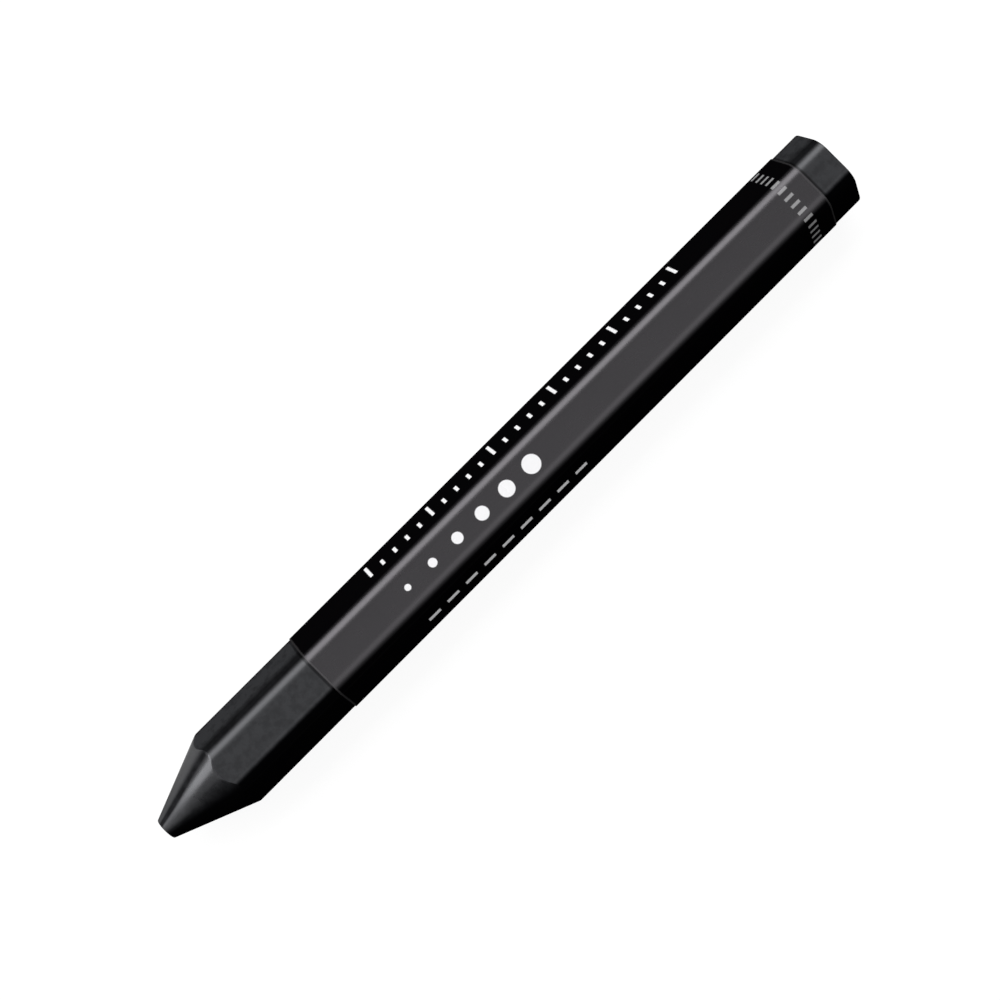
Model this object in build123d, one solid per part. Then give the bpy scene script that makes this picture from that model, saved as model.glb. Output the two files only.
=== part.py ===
from build123d import *
import os
from math import radians, tan

# Hexagonal wax marker in a wrapped paper sleeve, lying on one of its flats.
# The stick runs along X with its point towards -X, and Z is up.
# The origin is on the surface that the marker lies on, below the middle of the stick.
# All sizes are in millimetres, and angles are in degrees.

# Wax stick
SIDES = 6
STICK_LENGTH = 110.0
WAX_ACROSS_FLATS = 10.0
WAX_CORNER_RADIUS = 2.4
POINT_HALF_ANGLE = 21.8
TIP_DIAMETER = 2.8
TIP_ROUNDING = 0.16
BUTT_ROUNDING = 0.12

# Paper sleeve
SLEEVE_SETBACK = 25.4
SLEEVE_LENGTH = 80.4
PAPER_THICKNESS = 0.11
SLEEVE_CLEARANCE = 0.025

# Lap seam, where the sheet climbs over its own first edge.
# Its flat is counted from the top one, which is 0, towards +Y.
SEAM_FLAT = 2
LAP_WIDTH = 2.2
CLIMB_WIDTH = 0.45
LAP_EDGE_GAP = 0.1
GLUE_THICKNESS = 0.03
GLUE_SETBACK = 0.2

# Places that follow from the sizes above
WAX_APOTHEM = WAX_ACROSS_FLATS / 2
TIP_X = -STICK_LENGTH / 2
BUTT_X = STICK_LENGTH / 2
MOUTH_X = TIP_X + SLEEVE_SETBACK
SHEET_INSIDE = SLEEVE_CLEARANCE
SHEET_OUTSIDE = SHEET_INSIDE + PAPER_THICKNESS
LAP_INSIDE = SHEET_OUTSIDE + GLUE_THICKNESS
LAP_OUTSIDE = LAP_INSIDE + PAPER_THICKNESS
AXIS_HEIGHT = WAX_APOTHEM + SHEET_OUTSIDE
SEAM_TURN = -SEAM_FLAT * 360 / SIDES

# Stations across the seam's flat, measured from its middle line
SEAM_WIDTH = CLIMB_WIDTH + LAP_EDGE_GAP + LAP_WIDTH
CLIMB_START = -SEAM_WIDTH / 2
CLIMB_END = CLIMB_START + CLIMB_WIDTH
FIRST_EDGE = CLIMB_END + LAP_EDGE_GAP
LAP_EDGE = FIRST_EDGE + LAP_WIDTH


def rounded_hexagon(growth):
    """The wax section, grown outwards all round, with flats at its top and bottom."""
    outline = RegularPolygon(WAX_APOTHEM + growth, SIDES, major_radius=False)
    return fillet(outline.vertices(), WAX_CORNER_RADIUS + growth)


def hexagon_layer(inside, outside):
    """A band round the wax section, between two distances from its surface."""
    return rounded_hexagon(outside) - rounded_hexagon(inside)


def seam_strip(start, end):
    """The part of the section above the top flat, between two stations across it."""
    middle = (start + end) / 2
    return Pos(middle, WAX_APOTHEM) * Rectangle(end - start, WAX_APOTHEM)


def along_stick(section, start, length, turn=0.0):
    """A section carried along the stick's own axis, after a turn about it."""
    place = Plane(origin=(start, 0, AXIS_HEIGHT), x_dir=(0, 1, 0), z_dir=(1, 0, 0))
    return extrude(place * Rot(0, 0, turn) * section, length)


def point_and_butt():
    """The turned envelope: a cone at the point, and a cylinder that clears the corners."""
    tip_radius = TIP_DIAMETER / 2
    clear_radius = WAX_ACROSS_FLATS
    cone_length = (clear_radius - tip_radius) / tan(radians(POINT_HALF_ANGLE))
    profile = Polyline(
        (TIP_X, 0),
        (TIP_X, tip_radius),
        (TIP_X + cone_length, clear_radius),
        (BUTT_X, clear_radius),
        (BUTT_X, 0),
        close=True,
    )
    face = make_face(Plane.XZ * profile)
    return Pos(0, 0, AXIS_HEIGHT) * revolve(face, Axis.X)


def wax_stick():
    """One solid stick of wax: a rounded hexagon with a turned point."""
    stick = along_stick(rounded_hexagon(0), TIP_X, STICK_LENGTH) & point_and_butt()
    tip_edge = stick.faces().sort_by(Axis.X)[0].edges()
    stick = fillet(tip_edge, TIP_ROUNDING)
    butt_edges = stick.faces().sort_by(Axis.X)[-1].edges()
    return fillet(butt_edges, BUTT_ROUNDING)


def paper_sleeve():
    """One sheet wrapped once round the stick, its last edge lapped over its first."""
    sheet = hexagon_layer(SHEET_INSIDE, SHEET_OUTSIDE) - seam_strip(CLIMB_START, FIRST_EDGE)
    climb = make_face(
        Polyline(
            (CLIMB_START, WAX_APOTHEM + SHEET_INSIDE),
            (CLIMB_START, WAX_APOTHEM + SHEET_OUTSIDE),
            (CLIMB_END, WAX_APOTHEM + LAP_OUTSIDE),
            (CLIMB_END, WAX_APOTHEM + LAP_INSIDE),
            close=True,
        )
    )
    lap = hexagon_layer(LAP_INSIDE, LAP_OUTSIDE) & seam_strip(CLIMB_END, LAP_EDGE)
    return along_stick(sheet + climb + lap, MOUTH_X, SLEEVE_LENGTH, SEAM_TURN)


def seam_glue():
    """The glue film between the two plies of the lap, set back from the lap's free edge."""
    film = hexagon_layer(SHEET_OUTSIDE, LAP_INSIDE) & seam_strip(FIRST_EDGE, LAP_EDGE - GLUE_SETBACK)
    return along_stick(film, MOUTH_X, SLEEVE_LENGTH, SEAM_TURN)


def main():
    os.makedirs("parts", exist_ok=True)
    for make in (wax_stick, paper_sleeve, seam_glue):
        export_step(make(), f"parts/{make.__name__}.step")


main()
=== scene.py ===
from collections import namedtuple
from math import atan2, cos, hypot, pi, radians, sin, tan

import bmesh
import bpy
from bpy.props import FloatProperty, FloatVectorProperty, PointerProperty
from mathutils import Matrix, Vector


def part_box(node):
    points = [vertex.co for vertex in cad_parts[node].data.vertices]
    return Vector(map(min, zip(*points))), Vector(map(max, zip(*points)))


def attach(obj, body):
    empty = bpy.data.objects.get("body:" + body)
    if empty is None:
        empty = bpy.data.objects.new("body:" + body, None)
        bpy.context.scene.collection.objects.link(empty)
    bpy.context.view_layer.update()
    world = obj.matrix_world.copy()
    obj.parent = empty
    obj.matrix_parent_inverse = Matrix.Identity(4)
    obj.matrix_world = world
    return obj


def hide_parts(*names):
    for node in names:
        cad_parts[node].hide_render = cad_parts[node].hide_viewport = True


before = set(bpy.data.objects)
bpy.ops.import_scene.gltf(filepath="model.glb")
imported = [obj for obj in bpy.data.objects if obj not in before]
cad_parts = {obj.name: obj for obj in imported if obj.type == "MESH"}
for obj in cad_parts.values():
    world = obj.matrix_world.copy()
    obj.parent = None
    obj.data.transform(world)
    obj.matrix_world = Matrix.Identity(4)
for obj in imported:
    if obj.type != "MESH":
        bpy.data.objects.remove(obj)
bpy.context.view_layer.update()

bl_info = {
    "name": "Wax marker",
    "version": (1, 0, 0),
    "blender": (4, 5, 0),
    "location": "View3D > Sidebar > Marker",
    "description": "Dresses a hexagonal wax marker in its paper sleeve and sets it on a studio floor",
    "category": "Object",
}

# Lengths are in metres, as the frame's are. MM turns millimetres into metres.
MM = 0.001

# Places taken from the frame
WAX_LOW, WAX_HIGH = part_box("wax_stick")
SLEEVE_LOW, SLEEVE_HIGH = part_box("paper_sleeve")
AXIS_HEIGHT = (WAX_LOW.z + WAX_HIGH.z) / 2
WAX_APOTHEM = (WAX_HIGH.z - WAX_LOW.z) / 2
SLEEVE_LENGTH = SLEEVE_HIGH.x - SLEEVE_LOW.x

# The section is a hexagon with a flat at its top and one at its bottom.
SIDES = 6
SIDE_TURN = 2 * pi / SIDES
TOP_FLAT = pi / 2
SEAM_FLAT = TOP_FLAT - 2 * SIDE_TURN

# Surfaces without gloss
DULL_ROUGHNESS = 0.9
NO_SPECULAR = 0.0

# The gloss of the lower sides comes in as they face less upwards, and as they face the viewer more.
LOWER_SIDE = (0.74, 0.58)
FACE_ON = (0.66, 0.84)

# One place on the wax section: its point, its outward direction, and how flat the section is there
SectionPoint = namedtuple("SectionPoint", "across up outward flatness")

# One place on the wrapped sheet's middle line, with half the paper's thickness there
WrapPoint = namedtuple("WrapPoint", "across up outward around half")


class WaxSettings(bpy.types.PropertyGroup):
    """Sizes and finish of the wax stick."""

    corner_radius: FloatProperty(
        name="Corner radius",
        description="Rounding of the hexagon's six long corners",
        default=2.4 * MM,
        min=0.2 * MM,
        unit="LENGTH",
    )
    point_half_angle: FloatProperty(
        name="Point half angle",
        description="Angle between the turned point and the stick's axis",
        default=radians(21.8),
        min=radians(10),
        max=radians(45),
        subtype="ANGLE",
    )
    tip_radius: FloatProperty(
        name="Tip radius",
        description="Radius of the blunt tip, before its edge is rounded",
        default=1.40 * MM,
        min=0.3 * MM,
        unit="LENGTH",
    )
    tip_rounding: FloatProperty(
        name="Tip rounding",
        description="Rounding of the edge of the blunt tip",
        default=0.16 * MM,
        min=0.02 * MM,
        unit="LENGTH",
    )
    butt_rounding: FloatProperty(
        name="Butt rounding",
        description="Rounding of the edge of the square-cut butt",
        default=0.12 * MM,
        min=0.02 * MM,
        unit="LENGTH",
    )
    shoulder_rounding: FloatProperty(
        name="Shoulder rounding",
        description="Rounding where the turned point runs out into the flats and corners",
        default=0.8 * MM,
        min=0.02 * MM,
        unit="LENGTH",
    )
    scallop_depth: FloatProperty(
        name="Scallop depth",
        description="How much sooner the point runs out on a flat than on a corner",
        default=0.85 * MM,
        min=0.02 * MM,
        unit="LENGTH",
    )
    # Painted shade: a darker, duller band on the wax at each end of the sleeve where it rests, standing in
    # for the contact shade where the sleeve meets the wax.
    sleeve_edge_shade_width: FloatProperty(
        name="Rub line width",
        description="Width of the dull line that each end of the sleeve rubs into the wax",
        default=0.3 * MM,
        min=0,
        unit="LENGTH",
    )
    colour: FloatVectorProperty(
        name="Wax colour",
        description="Colour of the polished wax on the corners",
        default=(0.0009, 0.0009, 0.0011),
        min=0,
        max=1,
        subtype="COLOR",
    )
    bloom_colour: FloatVectorProperty(
        name="Bloom colour",
        description="Colour of the grey bloom that wax grows on its flats",
        default=(0.0275, 0.0281, 0.0302),
        min=0,
        max=1,
        subtype="COLOR",
    )


class SleeveSettings(bpy.types.PropertyGroup):
    """Sizes and finish of the paper sleeve and its lap seam."""

    clearance: FloatProperty(
        name="Clearance",
        description="Gap between the wax and the paper",
        default=0.025 * MM,
        min=0,
        unit="LENGTH",
    )
    thickness: FloatProperty(
        name="Paper thickness",
        description="Thickness of the sheet",
        default=0.11 * MM,
        min=0.02 * MM,
        unit="LENGTH",
    )
    glue_thickness: FloatProperty(
        name="Glue thickness",
        description="Thickness of the glue film between the plies of the lap",
        default=0.03 * MM,
        min=0,
        unit="LENGTH",
    )
    lap_width: FloatProperty(
        name="Lap width",
        description="How far the sheet's last edge reaches over its first",
        default=2.2 * MM,
        min=0.5 * MM,
        unit="LENGTH",
    )
    climb_width: FloatProperty(
        name="Climb width",
        description="Width over which the sheet climbs onto its own first edge",
        default=0.45 * MM,
        min=0.1 * MM,
        unit="LENGTH",
    )
    lap_edge_gap: FloatProperty(
        name="Lap edge gap",
        description="Gap between the top of the climb and the sheet's first edge",
        default=0.1 * MM,
        min=0,
        unit="LENGTH",
    )
    # Partly painted highlight: the lighter band of ink at the sleeve's cut ends is partly abraded ink and
    # partly a painted highlight of the cut edge.
    edge_wear_and_highlight: FloatProperty(
        name="Edge wear",
        description="Width of the worn band at the sleeve's cut ends",
        default=0.22 * MM,
        min=0,
        unit="LENGTH",
    )
    ink_colour: FloatVectorProperty(
        name="Ink colour",
        description="Colour of the solid black print on the paper",
        default=(0.0007, 0.0006, 0.0008),
        min=0,
        max=1,
        subtype="COLOR",
    )
    # Colour of that band: abraded ink, and a painted edge highlight.
    worn_and_highlight_colour: FloatVectorProperty(
        name="Worn ink colour",
        description="Colour of the ink where the cut ends have been rubbed",
        default=(0.021, 0.0205, 0.021),
        min=0,
        max=1,
        subtype="COLOR",
    )
    paper_colour: FloatVectorProperty(
        name="Paper colour",
        description="Colour of the bare paper inside the sleeve",
        default=(0.30, 0.28, 0.25),
        min=0,
        max=1,
        subtype="COLOR",
    )
    cut_colour: FloatVectorProperty(
        name="Cut edge colour",
        description="Colour of the sheet's cut edges, which ink and wax have darkened",
        default=(0.036, 0.034, 0.034),
        min=0,
        max=1,
        subtype="COLOR",
    )
    mark_colour: FloatVectorProperty(
        name="Mark colour",
        description="Colour of the white marks printed on the sleeve",
        default=(0.80, 0.80, 0.81),
        min=0,
        max=1,
        subtype="COLOR",
    )


class StageSettings(bpy.types.PropertyGroup):
    """The camera, the lamps and the floor."""

    lens: FloatProperty(
        name="Lens",
        description="Focal length of the camera on a 36 mm sensor, in millimetres",
        default=66.49,
        min=10,
    )
    aim: FloatVectorProperty(
        name="Aim",
        description="Point that the camera looks at",
        default=(-0.755 * MM, -0.375 * MM, AXIS_HEIGHT),
        subtype="TRANSLATION",
        unit="LENGTH",
    )
    distance: FloatProperty(
        name="Distance",
        description="Distance from the camera to the point that it looks at",
        default=216.76 * MM,
        min=50 * MM,
        unit="LENGTH",
    )
    elevation: FloatProperty(
        name="Elevation",
        description="Height of the camera above the horizon, seen from the marker",
        default=radians(86.342),
        subtype="ANGLE",
    )
    azimuth: FloatProperty(
        name="Azimuth",
        description="Direction of the camera from the marker, turned from +X towards +Y",
        default=radians(181.231),
        subtype="ANGLE",
    )
    picture_up: FloatProperty(
        name="Picture up",
        description="Direction on the floor that is up in the picture, turned from +X towards +Y",
        default=radians(44.936),
        subtype="ANGLE",
    )
    strip_radiance: FloatProperty(
        name="Strip light",
        description="Brightness of the strip light beside the marker, where 1 is white",
        default=4.1,
        min=0,
    )
    overhead_radiance: FloatProperty(
        name="Overhead light",
        description="Brightness of the panel over the marker, where 1 is white",
        default=0.605,
        min=0,
    )
    side_radiance: FloatProperty(
        name="Side light",
        description="Brightness of the short panel on the other side of the sleeve, where 1 is white",
        default=1.32,
        min=0,
    )
    fill_radiance: FloatProperty(
        name="Fill light",
        description="Brightness of the low panel beyond the side light, where 1 is white",
        default=0.6,
        min=0,
    )
    room_radiance: FloatProperty(
        name="Room light",
        description="Brightness of the room around the stage, where 1 is white",
        default=0.05,
        min=0,
    )
    floor_colour: FloatVectorProperty(
        name="Floor colour",
        description="Colour of the pale floor, as it lights the marker",
        default=(0.3, 0.3, 0.3),
        min=0,
        max=1,
        subtype="COLOR",
    )


class Value:
    """A shader socket that takes part in Python expressions and adds a Math node for each operator."""

    def __init__(self, finish, socket):
        self.finish = finish
        self.socket = socket

    def math(self, operation, first, second=0.0):
        return self.finish.add("ShaderNodeMath", {"operation": operation}, {0: first, 1: second})

    def __add__(self, other):
        return self.math("ADD", self, other)

    def __radd__(self, other):
        return self.math("ADD", other, self)

    def __sub__(self, other):
        return self.math("SUBTRACT", self, other)

    def __rsub__(self, other):
        return self.math("SUBTRACT", other, self)

    def __mul__(self, other):
        return self.math("MULTIPLY", self, other)

    def __rmul__(self, other):
        return self.math("MULTIPLY", other, self)

    def __truediv__(self, other):
        return self.math("DIVIDE", self, other)

    def __rtruediv__(self, other):
        return self.math("DIVIDE", other, self)

    def __abs__(self):
        return self.math("ABSOLUTE", self)

    def __mod__(self, other):
        return self.math("FLOORED_MODULO", self, other)

    def lower(self, other):
        return self.math("MINIMUM", self, other)

    def higher(self, other):
        return self.math("MAXIMUM", self, other)

    def root(self):
        return self.math("SQRT", self)


class Finish:
    """One procedural material: adds nodes by type, with their settings first and then their sockets."""

    def __init__(self, name):
        self.material = bpy.data.materials.new(name)
        self.material.use_nodes = True
        self.tree = self.material.node_tree
        self.tree.nodes.clear()

    def add(self, kind, settings=None, sockets=None, output=0):
        node = self.tree.nodes.new(kind)
        for key, value in (settings or {}).items():
            setattr(node, key, value)
        for key, value in (sockets or {}).items():
            if isinstance(value, Value):
                self.tree.links.new(value.socket, node.inputs[key])
            else:
                node.inputs[key].default_value = value
        return Value(self, node.outputs[output]) if node.outputs else None

    def ramp(self, value, start, end, first=0.0, last=1.0):
        """A smooth change from first to last as the value goes from start to end."""
        return self.add(
            "ShaderNodeMapRange",
            {"interpolation_type": "SMOOTHSTEP", "clamp": True},
            {"Value": value, "From Min": start, "From Max": end, "To Min": first, "To Max": last},
        )

    def band(self, value, centre, half_width, softness):
        """1 within half a width of the centre, and 0 beyond it."""
        return self.ramp(abs(value - centre), half_width - softness, half_width + softness, 1.0, 0.0)

    def split(self, vector):
        """The three numbers of a vector."""
        node = self.add("ShaderNodeSeparateXYZ", None, {"Vector": vector}).socket.node
        return [Value(self, socket) for socket in node.outputs]

    def attribute(self, name):
        """A vector that the mesh carries at its vertices."""
        return self.add("ShaderNodeAttribute", {"attribute_name": name}, None, "Vector")

    def stretched(self, vector, factors):
        """A vector with each of its numbers multiplied by its own factor."""
        return self.add("ShaderNodeVectorMath", {"operation": "MULTIPLY"}, {0: vector, 1: factors})

    def noise(self, vector, scale, detail=2.0, roughness=0.5):
        return self.add(
            "ShaderNodeTexNoise",
            None,
            {"Vector": vector, "Scale": scale, "Detail": detail, "Roughness": roughness},
            "Fac",
        )

    def mix(self, factor, first, second):
        """A colour that goes from first to second with the factor."""
        colours = [c if isinstance(c, Value) else (*c, 1.0) for c in (first, second)]
        return self.add(
            "ShaderNodeMix",
            {"data_type": "RGBA"},
            {0: factor, 6: colours[0], 7: colours[1]},
            2,
        )

    def bump(self, height, distance, normal=None):
        sockets = {"Height": height, "Distance": distance}
        if normal is not None:
            sockets["Normal"] = normal
        return self.add("ShaderNodeBump", None, sockets)

    def polish(self, colour, roughness, normal, specular, tint, amount):
        """A glossy skin over a dull body of the same colour, mixed by the amount of polish."""
        glossy = self.add(
            "ShaderNodeBsdfPrincipled",
            None,
            {
                "Base Color": colour,
                "Roughness": roughness,
                "Normal": normal,
                "Specular IOR Level": specular,
                "Specular Tint": (*tint, 1.0),
            },
        )
        dull = self.add(
            "ShaderNodeBsdfPrincipled",
            None,
            {
                "Base Color": colour,
                "Roughness": DULL_ROUGHNESS,
                "Normal": normal,
                "Specular IOR Level": NO_SPECULAR,
            },
        )
        return self.add("ShaderNodeMixShader", None, {0: amount, 1: dull, 2: glossy})

    def finished(self, shader):
        self.add("ShaderNodeOutputMaterial", None, {"Surface": shader})
        return self.material


def outlook(finish):
    """The way that a surface faces, as three numbers in the marker's own frame."""
    return finish.split(finish.add("ShaderNodeTexCoord", None, None, "Normal"))


def side_sheen(finish, upward):
    """Gloss of the lower sides, which is full where they are seen face on and fades at a slant."""
    facing = 1 - finish.add("ShaderNodeLayerWeight", None, {"Blend": 0.5}, "Facing")
    return finish.ramp(upward, *LOWER_SIDE) * finish.ramp(facing, *FACE_ON)


def piece(name, points, faces, material, places, place_name):
    """A smooth mesh piece with one vector for each of its vertices."""
    mesh = bpy.data.meshes.new(name)
    mesh.from_pydata(points, [], faces)
    carried = mesh.attributes.new(place_name, "FLOAT_VECTOR", "POINT")
    carried.data.foreach_set("vector", [number for place in places for number in place])
    shape = bmesh.new()
    shape.from_mesh(mesh)
    bmesh.ops.recalc_face_normals(shape, faces=shape.faces)
    for face in shape.faces:
        face.smooth = True
    shape.to_mesh(mesh)
    shape.free()
    mesh.materials.append(material)
    made = bpy.data.objects.new(name, mesh)
    bpy.context.scene.collection.objects.link(made)
    return made


def direction(angle):
    """The point at distance 1 from the middle of a plane, at an angle from the plane's first axis."""
    return Vector((cos(angle), sin(angle)))


def shares(steps):
    """Evenly spaced shares from 0 to 1."""
    return [step / steps for step in range(steps + 1)]


def smooth_step(value, start, end):
    """A smooth change from 0 to 1 as the value goes from start to end."""
    share = min(max((value - start) / (end - start), 0.0), 1.0)
    return share * share * (3 - 2 * share)


# Wax stick

ARC_STEPS = 14
FLAT_STEPS = 12
ROUNDING_STEPS = 6
CONE_ROWS = 36
STICK_ROWS = 48
FACE_RINGS = (0.3, 0.6, 0.85, 0.97)
EDGE_SUPPORT = 0.06 * MM
FLATNESS_START = radians(14)


def wax_section(settings):
    """The rounded hexagon, as points going round it from the corner at +Y."""
    radius = settings.corner_radius
    centre_distance = (WAX_APOTHEM - radius) / cos(SIDE_TURN / 2)
    flat_width = 2 * (WAX_APOTHEM - radius) * tan(SIDE_TURN / 2)
    points = []
    for side in range(SIDES):
        corner = side * SIDE_TURN
        for share in shares(ARC_STEPS):
            outward = corner + (share - 0.5) * SIDE_TURN
            place = direction(corner) * centre_distance + direction(outward) * radius
            flatness = smooth_step(abs(outward - corner), FLATNESS_START, SIDE_TURN / 2)
            points.append(SectionPoint(*place, outward, flatness))
        flat = corner + SIDE_TURN / 2
        along = direction(flat + pi / 2)
        middle = direction(flat) * WAX_APOTHEM
        for share in shares(FLAT_STEPS)[1:-1]:
            place = middle + along * (share - 0.5) * flat_width
            points.append(SectionPoint(*place, flat, 1.0))
    return points


def wax_rows(section, settings):
    """Rings of (along, across, up, flatness, turned) points, from the tip to the butt."""
    half_angle = settings.point_half_angle
    tip_rounding = settings.tip_rounding
    butt_rounding = settings.butt_rounding
    shoulder = settings.shoulder_rounding
    tip, butt = WAX_LOW.x, WAX_HIGH.x
    tip_radius = settings.tip_radius
    reach = [hypot(point.across, point.up) for point in section]
    polar = [direction(atan2(point.up, point.across)) for point in section]
    corner_reach = max(reach)
    corner_run = (corner_reach - tip_radius) / tan(half_angle)
    scallop = settings.scallop_depth / (corner_reach - WAX_APOTHEM)
    run_out = [tip + corner_run - scallop * (corner_reach - radius) for radius in reach]
    slopes = [atan2(radius - tip_radius, end - tip) for radius, end in zip(reach, run_out)]
    tangents = [shoulder * tan(slope / 2) for slope in slopes]
    starts = [end + tangent for end, tangent in zip(run_out, tangents)]

    def turned_ring(profile):
        return [(x, *(spoke * radius), 0.0, 1.0) for spoke, (x, radius) in zip(polar, profile)]

    def pressed_ring(places, inset=0.0):
        ring = []
        for point, x in zip(section, places):
            place = Vector((point.across, point.up)) - direction(point.outward) * inset
            ring.append((x, *place, point.flatness, 0.0))
        return ring

    blunt_radius = tip_radius + tip_rounding * (tan(half_angle) - 1 / cos(half_angle))
    rows = [turned_ring([(tip, blunt_radius * share)] * len(section)) for share in FACE_RINGS]
    for share in shares(ROUNDING_STEPS):
        turn = pi - share * (pi / 2 - half_angle)
        place = (tip + tip_rounding * (1 + cos(turn)), blunt_radius + tip_rounding * sin(turn))
        rows.append(turned_ring([place] * len(section)))
    cone_start = tip + tip_rounding * (1 - sin(half_angle))
    for share in shares(CONE_ROWS)[1:-1]:
        profile = []
        for end, slope, tangent in zip(run_out, slopes, tangents):
            x = cone_start + share * (end - tangent * cos(slope) - cone_start)
            profile.append((x, tip_radius + (x - tip) * tan(slope)))
        rows.append(turned_ring(profile))
    for share in shares(ROUNDING_STEPS)[:-1]:
        profile = []
        for start, slope, radius in zip(starts, slopes, reach):
            turn = slope * (1 - share)
            profile.append((start - shoulder * sin(turn), radius - shoulder * (1 - cos(turn))))
        rows.append(turned_ring(profile))
    stick_end = butt - butt_rounding
    stick_starts = [start + EDGE_SUPPORT for start in starts]
    rows.append(pressed_ring(starts))
    for share in shares(STICK_ROWS):
        rows.append(pressed_ring([x + share * (stick_end - EDGE_SUPPORT - x) for x in stick_starts]))
    rows.append(pressed_ring([stick_end] * len(section)))
    for share in shares(ROUNDING_STEPS)[1:]:
        turn = share * pi / 2
        ring_x = butt - butt_rounding * (1 - sin(turn))
        rows.append(pressed_ring([ring_x] * len(section), butt_rounding * (1 - cos(turn))))
    edge = rows[-1]
    for share in reversed(FACE_RINGS):
        rows.append([(butt, share * across, share * up, 1.0, 0.0) for _, across, up, _, _ in edge])
    return rows


def wax_mesh(settings):
    """Points, faces and finish places of the stick, closed by a fan at its tip and at its butt."""
    section = wax_section(settings)
    rows = wax_rows(section, settings)
    count = len(section)
    points, places, faces = [], [], []
    for row in rows:
        for x, across, up, flatness, turned in row:
            points.append((x, across, AXIS_HEIGHT + up))
            places.append(((x - WAX_LOW.x) / MM, flatness, turned))
    for row in range(len(rows) - 1):
        for column in range(count):
            beside = (column + 1) % count
            corner, other = row * count + column, row * count + beside
            faces.append((corner, other, other + count, corner + count))
    for ring_start, x, turned in ((0, WAX_LOW.x, 1.0), ((len(rows) - 1) * count, WAX_HIGH.x, 0.0)):
        middle = len(points)
        points.append((x, 0.0, AXIS_HEIGHT))
        places.append(((x - WAX_LOW.x) / MM, 1.0 - turned, turned))
        for column in range(count):
            faces.append((ring_start + column, ring_start + (column + 1) % count, middle))
    return points, faces, places


# Wax finish. A ramp is its start and end, and then its first and last value where they aren't 0 and 1.
# The lean goes from -1 on the stick's -Y side to 1 on its +Y side. Places along it are in millimetres.

BUTT_FACING = (0.5, 0.9)
# Painted contact shade at the sleeve's ends: the band clears the bloom, which darkens the wax, and dulls its
# gloss.
EDGE_SHADE_SOFTNESS = 0.1
EDGE_SHADE_DARKENING, EDGE_SHADE_DULLING = 0.6, 0.5

# The grey bloom is the wax's own tone, but where it lies is painted light and shade: less on the top flat
# than on the side flats, a sharp end on the -Y corner next to the top flat, and none on the -Y side or the
# -Y half of the point, which paints the side away from the strip light dark and the side towards it lighter.
TOP_BLOOM = (0.45, 0.35, 0.0, 0.83)
SIDE_BLOOM = (0.64, 0.84, 0.3, 1.0)
SIDE_CORNER, SIDE_CORNER_BLOOM = (0.93, 0.985), 0.8
TOP_EDGE_BLOOM = (0.0, -0.15, 0.0, 0.83)
SHADED_SIDE_BLOOM_CUT = (-0.435, -0.32)
POINT_BLOOM_LIT_SIDE = (-0.55, -0.1, 0.0, 0.45)
LEAST_BLOOM, BUTT_BLOOM = 0.21, 0.5
BLOOM_EVEN, BLOOM_MOTTLE, BLOOM_GRAIN = 0.55, 0.6, 0.3
MOTTLE_CONTRAST = (0.3, 0.7)

WORN_TIP = (8.0, 1.0)
WAX_ROUGHNESS, MOTTLE_ROUGHNESS = 0.33, 0.08
POINT_SMOOTHING, WORN_ROUGHENING = 0.17, 0.25
GRAIN_RELIEF, STREAK_RELIEF, RING_RELIEF = 0.4, 0.5, 0.3
WAX_RELIEF = 0.004 * MM

PRESSED_LIT, TURNED_LIT = (-0.40, -0.28), (-0.32, 0.0)
PRESSED_ABOVE, TURNED_ABOVE = (0.77, 0.95), (0.775, 0.845)
WORN_SHIFT = 0.06
POINT_SIDE_GLOSS = (0.58, 0.74, 0.0, 0.65)
POINT_EDGE_GLOSS = (0.76, 0.97, 1.0, 0.52)
FLAT_DULLING, MOTTLE_DULLING = 0.59, 0.2
WAX_SPECULAR = 0.72
WAX_TINT = (0.94, 0.95, 1.0)


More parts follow.
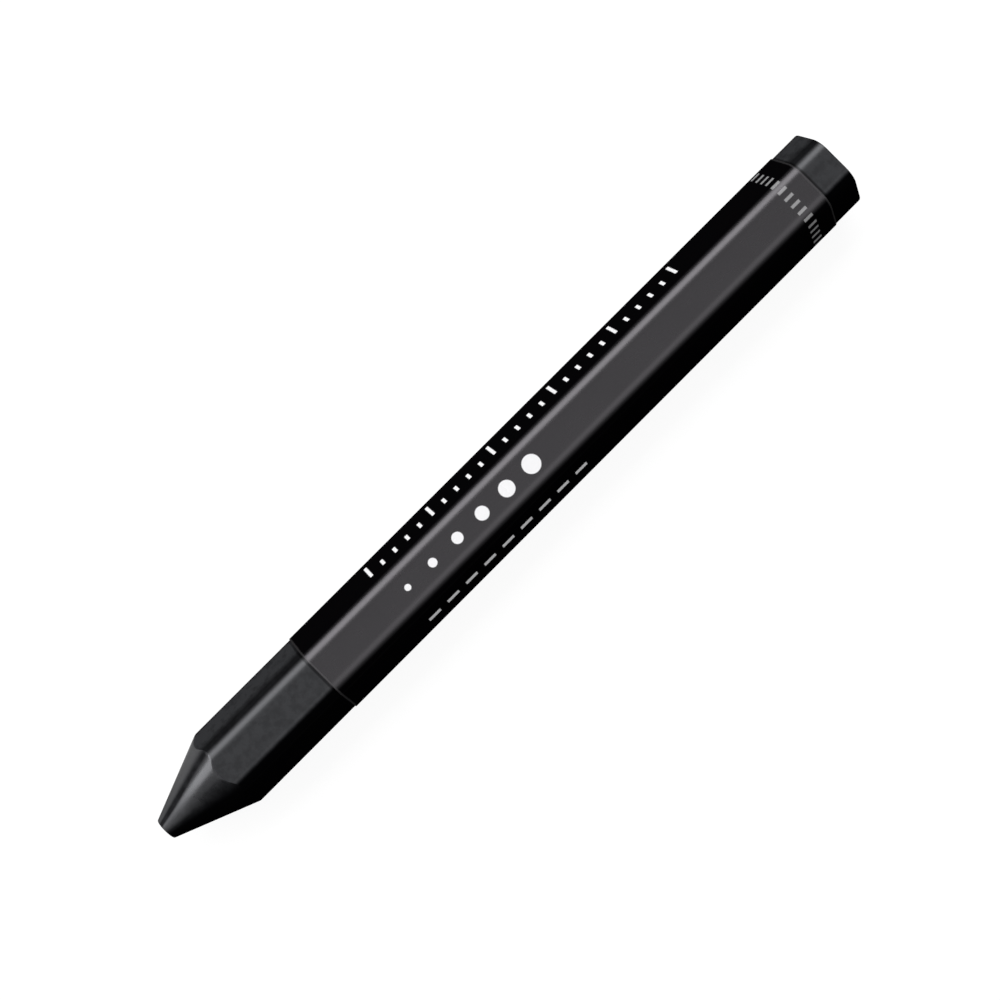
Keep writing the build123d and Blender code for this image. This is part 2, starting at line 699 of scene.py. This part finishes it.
def pigmented_wax(settings):
    """Black wax: grey bloom on the pressed flats and on the +Y side of the point, left off the -Y side as
    painted shade; polish on the corners; fine turning rings on the point.
    """
    finish = Finish("pigmented_wax")
    along, flat, turned = finish.split(finish.attribute("wax_place"))
    solid = finish.add("ShaderNodeTexCoord", None, None, "Object")
    _, across, height = finish.split(solid)
    up = height - AXIS_HEIGHT
    lean = across / (across * across + up * up).root()
    endward, _, upward = outlook(finish)
    butt = finish.ramp(endward, *BUTT_FACING)

    grains = finish.stretched(solid, (1 / MM, 1 / MM, 1 / MM))
    mottle = finish.noise(grains, scale=0.9, detail=4.0, roughness=0.6)
    grain = finish.noise(grains, scale=6.0, detail=3.0, roughness=0.6)
    long_grains = finish.stretched(grains, (0.06, 1.0, 1.0))
    streaks = finish.noise(long_grains, scale=3.0, detail=3.0, roughness=0.5)
    round_grains = finish.stretched(grains, (1.0, 0.01, 0.01))
    rings = finish.noise(round_grains, scale=6.0, detail=3.0, roughness=0.7)

    # Painted shade: the band named rubbed is the contact shade at each end of the sleeve, painted dark on
    # the wax where the sleeve rests.
    mouth = (SLEEVE_LOW.x - WAX_LOW.x) / MM
    rear = (SLEEVE_HIGH.x - WAX_LOW.x) / MM
    shade_band_width = settings.sleeve_edge_shade_width / MM
    rubbed = finish.band(along, mouth - shade_band_width / 2, shade_band_width / 2, EDGE_SHADE_SOFTNESS)
    rubbed = rubbed.higher(finish.band(along, rear + shade_band_width / 2, shade_band_width / 2, EDGE_SHADE_SOFTNESS))

    # Painted shade and light in the bloom: none on the -Y side, a sharp end on the -Y corner by the top
    # flat, and on the point only towards +Y.
    side = abs(lean)
    bloom_by_face = finish.ramp(side, *TOP_BLOOM).higher(finish.ramp(side, *SIDE_BLOOM))
    side_corner = finish.ramp(side, *SIDE_CORNER) * SIDE_CORNER_BLOOM
    top_edge = finish.ramp(lean, *TOP_EDGE_BLOOM)
    pressed_bloom_and_shade = (flat * bloom_by_face).higher(side_corner).higher(top_edge).higher(LEAST_BLOOM)
    pressed_bloom_and_shade = pressed_bloom_and_shade * finish.ramp(lean, *SHADED_SIDE_BLOOM_CUT)
    turned_bloom_and_shade = finish.ramp(lean, *POINT_BLOOM_LIT_SIDE)
    bloom = pressed_bloom_and_shade + turned * (turned_bloom_and_shade - pressed_bloom_and_shade)
    bloom = bloom + butt * (BUTT_BLOOM - bloom)
    cloudy = BLOOM_EVEN + BLOOM_MOTTLE * finish.ramp(mottle, *MOTTLE_CONTRAST) + BLOOM_GRAIN * grain
    # The painted contact shade darkens the bloom here.
    bloom = bloom * cloudy * (1 - EDGE_SHADE_DARKENING * rubbed)
    colour = finish.mix(bloom, settings.colour, settings.bloom_colour)

    worn_tip = turned * finish.ramp(along, *WORN_TIP)
    roughness = WAX_ROUGHNESS + MOTTLE_ROUGHNESS * mottle
    roughness = roughness - POINT_SMOOTHING * turned + WORN_ROUGHENING * worn_tip
    relief = grain * GRAIN_RELIEF + streaks * (1 - turned) * STREAK_RELIEF + rings * turned * RING_RELIEF
    normal = finish.bump(relief, WAX_RELIEF)

    pressed_lit = finish.ramp(lean, *PRESSED_LIT)
    turned_lit = finish.ramp(lean, *TURNED_LIT)
    lit = pressed_lit + turned * (turned_lit - pressed_lit)
    pressed_above = finish.ramp(upward, *PRESSED_ABOVE)
    turned_above = finish.ramp(upward - WORN_SHIFT * worn_tip, *TURNED_ABOVE)
    above = lit * (pressed_above + turned * (turned_above - pressed_above))
    low_side = turned * finish.ramp(lean, *POINT_SIDE_GLOSS) * finish.ramp(lean, *POINT_EDGE_GLOSS)
    gloss = above.higher(low_side).higher(side_sheen(finish, upward))
    dulled = flat * pressed_lit
    dulled = dulled + butt * (1 - dulled)
    polish = gloss * (1 - dulled * (FLAT_DULLING + MOTTLE_DULLING * mottle)) * (1 - EDGE_SHADE_DULLING * rubbed)
    return finish.finished(finish.polish(colour, roughness, normal, WAX_SPECULAR, WAX_TINT, polish))


class MARKER_OT_wax_stick(bpy.types.Operator):
    """Build the wax stick with its turned point, in place of the frame's plain one"""

    bl_idname = "marker.wax_stick"
    bl_label = "Build wax stick"

    def execute(self, context):
        settings = context.scene.marker_wax
        points, faces, places = wax_mesh(settings)
        stick = piece("wax_body", points, faces, pigmented_wax(settings), places, "wax_place")
        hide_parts("wax_stick")
        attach(stick, "stick")
        return {"FINISHED"}


# Paper sleeve

SLEEVE_ROWS = 80
CLIMB_STEPS = 6
LAP_STEPS = 8
CUT_BEVEL = 0.03 * MM
OUTER_SIDE = 1.0
CUT_SIDE = 0.5
INNER_SIDE = 0.0


class Wrap:
    """The sheet's way round the stick, seen along it, from its first edge clockwise to the lap's edge."""

    def __init__(self, wax, sleeve):
        self.thickness = sleeve.thickness
        self.level = sleeve.clearance + sleeve.thickness / 2
        self.rise = sleeve.thickness + sleeve.glue_thickness
        self.radius = wax.corner_radius
        self.flat_half = (WAX_APOTHEM - self.radius) * tan(SIDE_TURN / 2)
        self.centre_distance = (WAX_APOTHEM - self.radius) / cos(SIDE_TURN / 2)
        self.arc_length = (self.radius + sleeve.clearance + sleeve.thickness) * SIDE_TURN
        seam_width = sleeve.climb_width + sleeve.lap_edge_gap + sleeve.lap_width
        self.climb_start = -seam_width / 2
        self.climb_end = self.climb_start + sleeve.climb_width
        self.first_edge = self.climb_end + sleeve.lap_edge_gap
        self.lap_edge = self.first_edge + sleeve.lap_width

    def face_middle(self, flats_on):
        """How far round the sheet the middle of a flat is, counted in flats from the seam's."""
        first = self.flat_half - self.first_edge
        return first + flats_on * self.arc_length + (2 * flats_on - 1) * self.flat_half

    def on_flat(self, flat, station, around, lift=0.0, half=None):
        outward = direction(flat)
        clockwise = direction(flat - pi / 2)
        place = outward * (WAX_APOTHEM + self.level + lift) + clockwise * station
        return WrapPoint(*place, flat, around, self.thickness / 2 if half is None else half)

    def points(self):
        """The sheet's middle line. Its two edges are a little thinner, where the cut is rounded."""
        cut_half = self.thickness / 2 - CUT_BEVEL
        first, last = self.first_edge, self.lap_edge
        path = [self.on_flat(SEAM_FLAT, first, 0.0, half=cut_half)]
        start = first + CUT_BEVEL
        for share in shares(FLAT_STEPS):
            station = start + share * (self.flat_half - start)
            path.append(self.on_flat(SEAM_FLAT, station, station - first))
        for side in range(SIDES):
            flat = SEAM_FLAT - side * SIDE_TURN
            around = path[-1].around
            centre = direction(flat - SIDE_TURN / 2) * self.centre_distance
            for share in shares(ARC_STEPS)[1:]:
                outward = flat - share * SIDE_TURN
                place = centre + direction(outward) * (self.radius + self.level)
                path.append(WrapPoint(*place, outward, around + share * self.arc_length, self.thickness / 2))
            around = path[-1].around
            end = self.flat_half if side < SIDES - 1 else self.climb_start
            for share in shares(FLAT_STEPS)[1:]:
                station = -self.flat_half + share * (end + self.flat_half)
                path.append(self.on_flat(flat - SIDE_TURN, station, around + station + self.flat_half))
        around = path[-1].around - self.climb_start
        for share in shares(CLIMB_STEPS)[1:]:
            station = self.climb_start + share * (self.climb_end - self.climb_start)
            lift = self.rise * smooth_step(share, 0.0, 1.0)
            path.append(self.on_flat(SEAM_FLAT, station, around + station, lift))
        for share in shares(LAP_STEPS)[1:]:
            station = self.climb_end + share * (last - CUT_BEVEL - self.climb_end)
            path.append(self.on_flat(SEAM_FLAT, station, around + station, self.rise))
        path.append(self.on_flat(SEAM_FLAT, last, around + last, self.rise, cut_half))
        return path


def sleeve_mesh(wrap):
    """Points, faces and sheet places of the wrapped sheet, with bevelled cut edges."""
    path = wrap.points()
    count = len(path)
    first = CUT_BEVEL + EDGE_SUPPORT
    middle_rows = [first + share * (SLEEVE_LENGTH - 2 * first) for share in shares(SLEEVE_ROWS)]
    full_rows = [CUT_BEVEL, *middle_rows, SLEEVE_LENGTH - CUT_BEVEL]
    rows = [(0.0, CUT_BEVEL), *[(x, 0.0) for x in full_rows], (SLEEVE_LENGTH, CUT_BEVEL)]
    points, places, faces = [], [], []
    for x, thinning in rows:
        for sign, line in ((1, path), (-1, path[::-1])):
            for point in line:
                half = sign * (point.half - thinning)
                place = Vector((point.across, point.up)) + direction(point.outward) * half
                cut = thinning > 0 or point.half < wrap.thickness / 2
                side = CUT_SIDE if cut else (OUTER_SIDE if sign > 0 else INNER_SIDE)
                points.append((SLEEVE_LOW.x + x, place.x, AXIS_HEIGHT + place.y))
                places.append((x / MM, point.around / MM, side))
    ring = 2 * count
    for row in range(len(rows) - 1):
        for column in range(ring):
            corner, other = row * ring + column, row * ring + (column + 1) % ring
            faces.append((corner, other, other + ring, corner + ring))
    for start in (0, (len(rows) - 1) * ring):
        for column in range(count - 1):
            inner = ring - 1 - column
            faces.append((start + column, start + column + 1, start + inner - 1, start + inner))
    return points, faces, places


# Print, in millimetres along the sleeve and across its faces

PRINT_SOFTNESS = 0.06
SCALE_START, SCALE_END = 12.0, 62.0
SCALE_PITCH, SCALE_LONG_PITCH = 2.0, 10.0
SCALE_BASE, SCALE_SHORT, SCALE_LONG = -1.25, 1.2, 2.5
SCALE_STROKE = 0.42
DOT_START, DOT_PITCH = 14.0, 4.0
DOT_RADII = (0.4, 0.55, 0.7, 0.85, 1.0, 1.15)
DASH_START, DASH_END, DASH_PITCH = 14.0, 38.0, 3.0
DASH_LENGTH, DASH_STROKE = 1.8, 0.6
RING_SETBACK, RING_HEIGHT = 2.5, 1.3
RING_PITCH, RING_STROKE, RING_STRENGTH = 1.1, 0.38, 0.3

# Printed faces, counted in flats from the seam's
MINUS_Y_FACE, TOP_FACE, PLUS_Y_FACE = 3, 4, 5


def strokes(finish, place, start, pitch, width):
    """Even strokes of one width, each pitch from the start, both ways."""
    nearest = (place - start + pitch / 2) % pitch - pitch / 2
    return finish.band(nearest, 0.0, width / 2, PRINT_SOFTNESS)


def stretch(finish, place, start, end):
    """1 from the start to the end, and 0 beyond them."""
    return finish.band(place, (start + end) / 2, (end - start) / 2, PRINT_SOFTNESS)


def scale_marks(finish, along, across):
    """A plain scale: a short tick each two millimetres, and a long one at each fifth tick."""
    marks = None
    for pitch, height in ((SCALE_PITCH, SCALE_SHORT), (SCALE_LONG_PITCH, SCALE_LONG)):
        ticks = strokes(finish, along, SCALE_START, pitch, SCALE_STROKE)
        ticks = ticks * stretch(finish, across, SCALE_BASE, SCALE_BASE + height)
        marks = ticks if marks is None else marks.higher(ticks)
    return marks * stretch(finish, along, SCALE_START - SCALE_STROKE, SCALE_END + SCALE_STROKE)


def growing_dots(finish, along, across):
    """A row of discs that grow along the stick."""
    marks = None
    for number, radius in enumerate(DOT_RADII):
        off_centre = along - (DOT_START + number * DOT_PITCH)
        distance = (off_centre * off_centre + across * across).root()
        disc = finish.ramp(distance, radius - PRINT_SOFTNESS, radius + PRINT_SOFTNESS, 1.0, 0.0)
        marks = disc if marks is None else marks.higher(disc)
    return marks


def dashes(finish, along, across):
    """A broken line of even dashes."""
    line = strokes(finish, along, DASH_START, DASH_PITCH, DASH_LENGTH)
    line = line * finish.band(across, 0.0, DASH_STROKE / 2, PRINT_SOFTNESS)
    return line * stretch(finish, along, DASH_START - DASH_LENGTH, DASH_END + DASH_LENGTH)


def rear_ring(finish, along, around):
    """A ring of short, thinly printed strokes near the sleeve's rear end."""
    end = SLEEVE_LENGTH / MM - RING_SETBACK
    ring = strokes(finish, around, 0.0, RING_PITCH, RING_STROKE)
    return ring * stretch(finish, along, end - RING_HEIGHT, end) * RING_STRENGTH


def printed_marks(finish, along, around, wrap):
    """All the white print: a scale, a row of dots, a broken line and a ring of strokes."""
    minus_y_face = around - wrap.face_middle(MINUS_Y_FACE) / MM
    top_face = around - wrap.face_middle(TOP_FACE) / MM
    plus_y_face = around - wrap.face_middle(PLUS_Y_FACE) / MM
    marks = scale_marks(finish, along, plus_y_face)
    marks = marks.higher(growing_dots(finish, along, top_face))
    marks = marks.higher(dashes(finish, along, minus_y_face))
    return marks.higher(rear_ring(finish, along, around))


# Paper finish, with its ramps given as the wax's are

OUTER_FACE, INNER_FACE = (0.9, 0.99), (0.1, 0.01)
WEAR_HIGHLIGHT_START, WEAR_HIGHLIGHT_END, WEAR_HIGHLIGHT_RAGGEDNESS = 0.7, 1.3, 0.2
PRINT_GAPS = (0.2, 0.32)
FIBRE_SHARE, FIBRE_LIGHTNESS = 0.35, 3
BARE_SHADE, CUT_SHADE = 0.75, 0.6
VARNISH_ROUGHNESS, SMUDGE_ROUGHNESS = 0.24, 0.06
WEAR_HIGHLIGHT_ROUGHNESS, BARE_ROUGHNESS = 0.1, 0.3
TOOTH_RELIEF = 0.3
PAPER_RELIEF = 0.003 * MM
VARNISH_ABOVE = (0.77, 0.96, 0.004, 1.0)
VARNISH_LIT = (-0.54, -0.12)
WEAR_HIGHLIGHT_DULLING, VARNISH_EVEN, VARNISH_FIBRE = 0.15, 0.9, 0.2
VARNISH_SPECULAR = 0.82
VARNISH_TINT = (0.98, 0.94, 1.0)


def varnished_paper(settings, wrap):
    """Paper printed solid black and varnished, bare inside, with a grey band at its cut ends that is partly
    abraded ink and partly a painted edge highlight.
    """
    finish = Finish("varnished_paper")
    place = finish.attribute("sheet_place")
    along, around, side = finish.split(place)
    fibre_place = finish.stretched(place, (0.6, 1.6, 0.0))
    fibres = finish.noise(fibre_place, scale=3.0, detail=4.0, roughness=0.65)
    tooth_place = finish.stretched(place, (1.0, 1.0, 0.0))
    tooth = finish.noise(tooth_place, scale=5.0, detail=3.0, roughness=0.6)
    wave_place = finish.stretched(place, (0.05, 0.4, 0.0))
    waves = finish.noise(wave_place, scale=1.0, detail=2.0, roughness=0.5)
    smudge_place = finish.stretched(place, (0.3, 0.5, 0.0))
    smudges = finish.noise(smudge_place, scale=0.6, detail=3.0, roughness=0.6)

    length = SLEEVE_LENGTH / MM
    # Painted highlight: the lighter band at each cut end is partly abraded ink and partly a painted
    # highlight of the cut edge.
    wear_highlight_width = settings.edge_wear_and_highlight / MM
    from_end = along.lower(length - along)
    ragged = from_end + WEAR_HIGHLIGHT_RAGGEDNESS * (fibres - 0.5)
    wear_and_highlight = finish.ramp(ragged, wear_highlight_width * WEAR_HIGHLIGHT_START, wear_highlight_width * WEAR_HIGHLIGHT_END, 1.0, 0.0)
    marks = printed_marks(finish, along, around, wrap) * finish.ramp(fibres, *PRINT_GAPS)
    outer = finish.ramp(side, *OUTER_FACE)
    inner = finish.ramp(side, *INNER_FACE)

    pale_ink = [FIBRE_LIGHTNESS * c for c in settings.ink_colour]
    ink = finish.mix(FIBRE_SHARE * fibres, settings.ink_colour, pale_ink)
    ink = finish.mix(wear_and_highlight, ink, settings.worn_and_highlight_colour)
    ink = finish.mix(marks, ink, settings.mark_colour)
    bare = finish.mix(fibres, [BARE_SHADE * c for c in settings.paper_colour], settings.paper_colour)
    cut = finish.mix(fibres, [CUT_SHADE * c for c in settings.cut_colour], settings.cut_colour)
    colour = finish.mix(outer, finish.mix(inner, cut, bare), ink)

    roughness = VARNISH_ROUGHNESS + SMUDGE_ROUGHNESS * smudges
    roughness = roughness + WEAR_HIGHLIGHT_ROUGHNESS * wear_and_highlight + BARE_ROUGHNESS * (1 - outer)
    normal = finish.bump(tooth * TOOTH_RELIEF + waves, PAPER_RELIEF)
    _, sideward, upward = outlook(finish)
    above = finish.ramp(upward, *VARNISH_ABOVE) * finish.ramp(sideward, *VARNISH_LIT)
    evenness = (1 - WEAR_HIGHLIGHT_DULLING * wear_and_highlight) * (VARNISH_EVEN + VARNISH_FIBRE * fibres)
    polish = outer * evenness * above.higher(side_sheen(finish, upward))
    return finish.finished(finish.polish(colour, roughness, normal, VARNISH_SPECULAR, VARNISH_TINT, polish))


class MARKER_OT_paper_sleeve(bpy.types.Operator):
    """Build the printed paper sleeve with its lap seam, in place of the frame's plain one"""

    bl_idname = "marker.paper_sleeve"
    bl_label = "Build paper sleeve"

    def execute(self, context):
        settings = context.scene.marker_sleeve
        wrap = Wrap(context.scene.marker_wax, settings)
        points, faces, places = sleeve_mesh(wrap)
        paper = varnished_paper(settings, wrap)
        sheet = piece("sleeve_sheet", points, faces, paper, places, "sheet_place")
        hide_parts("paper_sleeve")
        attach(sheet, "sleeve")
        return {"FINISHED"}


# Seam glue

GLUE_DARK, GLUE_PALE = (0.50, 0.42, 0.28), (0.68, 0.60, 0.44)
GLUE_ROUGHNESS, CLOUD_ROUGHNESS = 0.3, 0.2
BUBBLE_WALLS = (0.1, 0.4)
BUBBLE_SCALE = 5000.0
GLUE_RELIEF = 0.003 * MM


def dextrin_glue():
    """A dried, yellowish film with small bubbles."""
    finish = Finish("dextrin_glue")
    place = finish.add("ShaderNodeTexCoord", None, None, "Object")
    clouds = finish.noise(place, scale=900.0, detail=3.0)
    cells = {"Vector": place, "Scale": BUBBLE_SCALE}
    bubbles = finish.add("ShaderNodeTexVoronoi", None, cells, "Distance")
    colour = finish.mix(clouds, GLUE_DARK, GLUE_PALE)
    roughness = GLUE_ROUGHNESS + CLOUD_ROUGHNESS * clouds
    normal = finish.bump(finish.ramp(bubbles, *BUBBLE_WALLS), GLUE_RELIEF)
    film = finish.add(
        "ShaderNodeBsdfPrincipled",
        None,
        {"Base Color": colour, "Roughness": roughness, "Normal": normal},
    )
    return finish.finished(film)


class MARKER_OT_seam_glue(bpy.types.Operator):
    """Give the frame's own film of glue its finish"""

    bl_idname = "marker.seam_glue"
    bl_label = "Finish seam glue"

    def execute(self, context):
        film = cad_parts["seam_glue"]
        film.data.materials.clear()
        film.data.materials.append(dextrin_glue())
        return {"FINISHED"}


# Stage

FLOOR_DROP = 0.02 * MM
FLOOR_SEGMENTS = 96
FLOOR_FLAT_STEPS = 4
FLOOR_FLAT_RADIUS = 1.2
FLOOR_RIM_RADIUS = 3.0
FLOOR_RIM_HEIGHT = 0.85
FLOOR_POINT_RISE = 0.75
FLOOR_BUTT_RISE = 1.65
FLOOR_RIM_STEPS = 10
FLOOR_NEAR, FLOOR_FAR = 0.12, 0.6
FLOOR_NEAR_WHITE, FLOOR_FAR_WHITE = (0.90, 0.90, 0.90), (1.0, 1.0, 1.0)
FLOOR_LIT_COLOUR = (0.14, 0.14, 0.14, 1.0)
SENSOR_WIDTH = 36.0
NEAREST_SEEN = 10 * MM
LAMP_DISTANCE = 0.42
STRIP_EDGES = (radians(26), radians(58))
STRIP_ENDS = (-0.72, 0.43)
OVERHEAD_EDGES = (radians(-5.5), radians(26))
OVERHEAD_ENDS = (-0.62, 0.28)
SIDE_EDGES = (radians(-36), radians(-5.5))
SIDE_ENDS = (-0.17, 0.28)
FILL_EDGES = (radians(-66), radians(-36))
FILL_ENDS = (-0.45, 0.45)


def studio_floor(settings):
    """White to the eye and in reflections, with a soft shadow, and pale where it lights the marker."""
    finish = Finish("studio_floor")
    rays = finish.add("ShaderNodeLightPath").socket.node
    seen, glossy, transmitted = (
        Value(finish, rays.outputs[name])
        for name in ("Is Camera Ray", "Is Glossy Ray", "Is Transmission Ray")
    )
    shown = seen.higher(glossy).higher(transmitted)
    x, y, _ = finish.split(finish.add("ShaderNodeTexCoord", None, None, "Object"))
    far = finish.ramp((x * x + y * y).root(), FLOOR_NEAR, FLOOR_FAR)
    pale = finish.add(
        "ShaderNodeBsdfPrincipled",
        None,
        {
            "Base Color": (*settings.floor_colour, 1.0),
            "Roughness": DULL_ROUGHNESS,
            "Specular IOR Level": NO_SPECULAR,
        },
    )
    white = finish.add(
        "ShaderNodeBsdfPrincipled",
        None,
        {
            "Base Color": FLOOR_LIT_COLOUR,
            "Roughness": DULL_ROUGHNESS,
            "Specular IOR Level": NO_SPECULAR,
            "Emission Color": finish.mix(far, FLOOR_NEAR_WHITE, FLOOR_FAR_WHITE),
            "Emission Strength": 1.0,
        },
    )
    return finish.finished(finish.add("ShaderNodeMixShader", None, {0: shown, 1: pale, 2: white}))


def floor_mesh():
    """A round floor that curves up into a backdrop, higher beyond the marker's ends than at its sides."""
    profile = [(share * FLOOR_FLAT_RADIUS, 0.0) for share in shares(FLOOR_FLAT_STEPS)[1:]]
    for share in shares(FLOOR_RIM_STEPS)[1:]:
        radius = FLOOR_FLAT_RADIUS + share * (FLOOR_RIM_RADIUS - FLOOR_FLAT_RADIUS)
        profile.append((radius, FLOOR_RIM_HEIGHT * share * share))
    points = [(0.0, 0.0, -FLOOR_DROP)]
    for radius, height in profile:
        for step in range(FLOOR_SEGMENTS):
            spoke = direction(2 * pi * step / FLOOR_SEGMENTS)
            end_rise = FLOOR_BUTT_RISE if spoke.x > 0 else FLOOR_POINT_RISE
            rise = 1 + end_rise * spoke.x * spoke.x
            points.append((*(spoke * radius), height * rise - FLOOR_DROP))
    faces = []
    for step in range(FLOOR_SEGMENTS):
        beside = (step + 1) % FLOOR_SEGMENTS
        faces.append((0, 1 + step, 1 + beside))
        for ring in range(len(profile) - 1):
            start = 1 + ring * FLOOR_SEGMENTS
            outer = start + FLOOR_SEGMENTS
            faces.append((start + step, outer + step, outer + beside, start + beside))
    mesh = bpy.data.meshes.new("studio_floor")
    mesh.from_pydata(points, [], faces)
    mesh.polygons.foreach_set("use_smooth", [True] * len(faces))
    return mesh


def panel_lamp(name, edges, ends, radiance):
    """A soft panel along the marker, between two angles from straight up towards +Y and two places on X."""
    middle, half = (edges[0] + edges[1]) / 2, (edges[1] - edges[0]) / 2
    light = bpy.data.lights.new(name, "AREA")
    light.shape = "RECTANGLE"
    light.size = ends[1] - ends[0]
    light.size_y = 2 * LAMP_DISTANCE * tan(half)
    light.energy = radiance * pi * light.size * light.size_y
    lamp = bpy.data.objects.new(name, light)
    beside, above = LAMP_DISTANCE * sin(middle), AXIS_HEIGHT + LAMP_DISTANCE * cos(middle)
    lamp.location = ((ends[0] + ends[1]) / 2, beside, above)
    lamp.rotation_euler = (-middle, 0.0, 0.0)
    lamp.visible_camera = False
    bpy.context.scene.collection.objects.link(lamp)


def room(settings):
    """A dim, even room."""
    world = bpy.data.worlds.new("room")
    world.use_nodes = True
    background = world.node_tree.nodes["Background"]
    background.inputs["Color"].default_value = (1.0, 1.0, 1.0, 1.0)
    background.inputs["Strength"].default_value = settings.room_radiance
    bpy.context.scene.world = world


def photograph_camera(settings):
    """The camera over the marker, leaning a little towards its point."""
    level = cos(settings.elevation)
    back = Vector((level * cos(settings.azimuth), level * sin(settings.azimuth), sin(settings.elevation)))
    picture_up = Vector((cos(settings.picture_up), sin(settings.picture_up), 0.0))
    right = picture_up.cross(back).normalized()
    up = back.cross(right)
    place = Vector(settings.aim) + back * settings.distance
    data = bpy.data.cameras.new("camera")
    data.lens = settings.lens
    data.sensor_width = SENSOR_WIDTH
    data.clip_start = NEAREST_SEEN
    camera = bpy.data.objects.new("camera", data)
    turn = Matrix((right, up, back)).transposed().to_4x4()
    camera.matrix_world = Matrix.Translation(place) @ turn
    bpy.context.scene.collection.objects.link(camera)
    bpy.context.scene.camera = camera


class MARKER_OT_stage(bpy.types.Operator):
    """Set up the floor, the lamps, the room and the camera"""

    bl_idname = "marker.stage"
    bl_label = "Set up stage"

    def execute(self, context):
        settings = context.scene.marker_stage
        floor = bpy.data.objects.new("studio_floor", floor_mesh())
        floor.data.materials.append(studio_floor(settings))
        context.scene.collection.objects.link(floor)
        panel_lamp("strip_light", STRIP_EDGES, STRIP_ENDS, settings.strip_radiance)
        panel_lamp("overhead_light", OVERHEAD_EDGES, OVERHEAD_ENDS, settings.overhead_radiance)
        panel_lamp("side_light", SIDE_EDGES, SIDE_ENDS, settings.side_radiance)
        panel_lamp("fill_light", FILL_EDGES, FILL_ENDS, settings.fill_radiance)
        room(settings)
        photograph_camera(settings)
        context.scene.view_settings.view_transform = "Standard"
        return {"FINISHED"}


class MARKER_PT_sidebar(bpy.types.Panel):
    """The marker's pieces, and the sizes and colours that they are built with"""

    bl_idname = "MARKER_PT_sidebar"
    bl_label = "Marker"
    bl_space_type = "VIEW_3D"
    bl_region_type = "UI"
    bl_category = "Marker"

    def draw(self, context):
        sections = (
            (MARKER_OT_stage, context.scene.marker_stage),
            (MARKER_OT_wax_stick, context.scene.marker_wax),
            (MARKER_OT_paper_sleeve, context.scene.marker_sleeve),
        )
        for operator, settings in sections:
            box = self.layout.box()
            for name in settings.__annotations__:
                box.prop(settings, name)
            box.operator(operator.bl_idname)
        self.layout.operator(MARKER_OT_seam_glue.bl_idname)


CLASSES = (
    WaxSettings,
    SleeveSettings,
    StageSettings,
    MARKER_OT_stage,
    MARKER_OT_wax_stick,
    MARKER_OT_paper_sleeve,
    MARKER_OT_seam_glue,
    MARKER_PT_sidebar,
)


def register():
    for each in CLASSES:
        bpy.utils.register_class(each)
    bpy.types.Scene.marker_wax = PointerProperty(type=WaxSettings)
    bpy.types.Scene.marker_sleeve = PointerProperty(type=SleeveSettings)
    bpy.types.Scene.marker_stage = PointerProperty(type=StageSettings)


def unregister():
    del bpy.types.Scene.marker_stage
    del bpy.types.Scene.marker_sleeve
    del bpy.types.Scene.marker_wax
    for each in reversed(CLASSES):
        bpy.utils.unregister_class(each)


def main():
    register()
    bpy.ops.marker.stage()
    bpy.ops.marker.wax_stick()
    bpy.ops.marker.paper_sleeve()
    bpy.ops.marker.seam_glue()


if __name__ == "__main__":
    main()
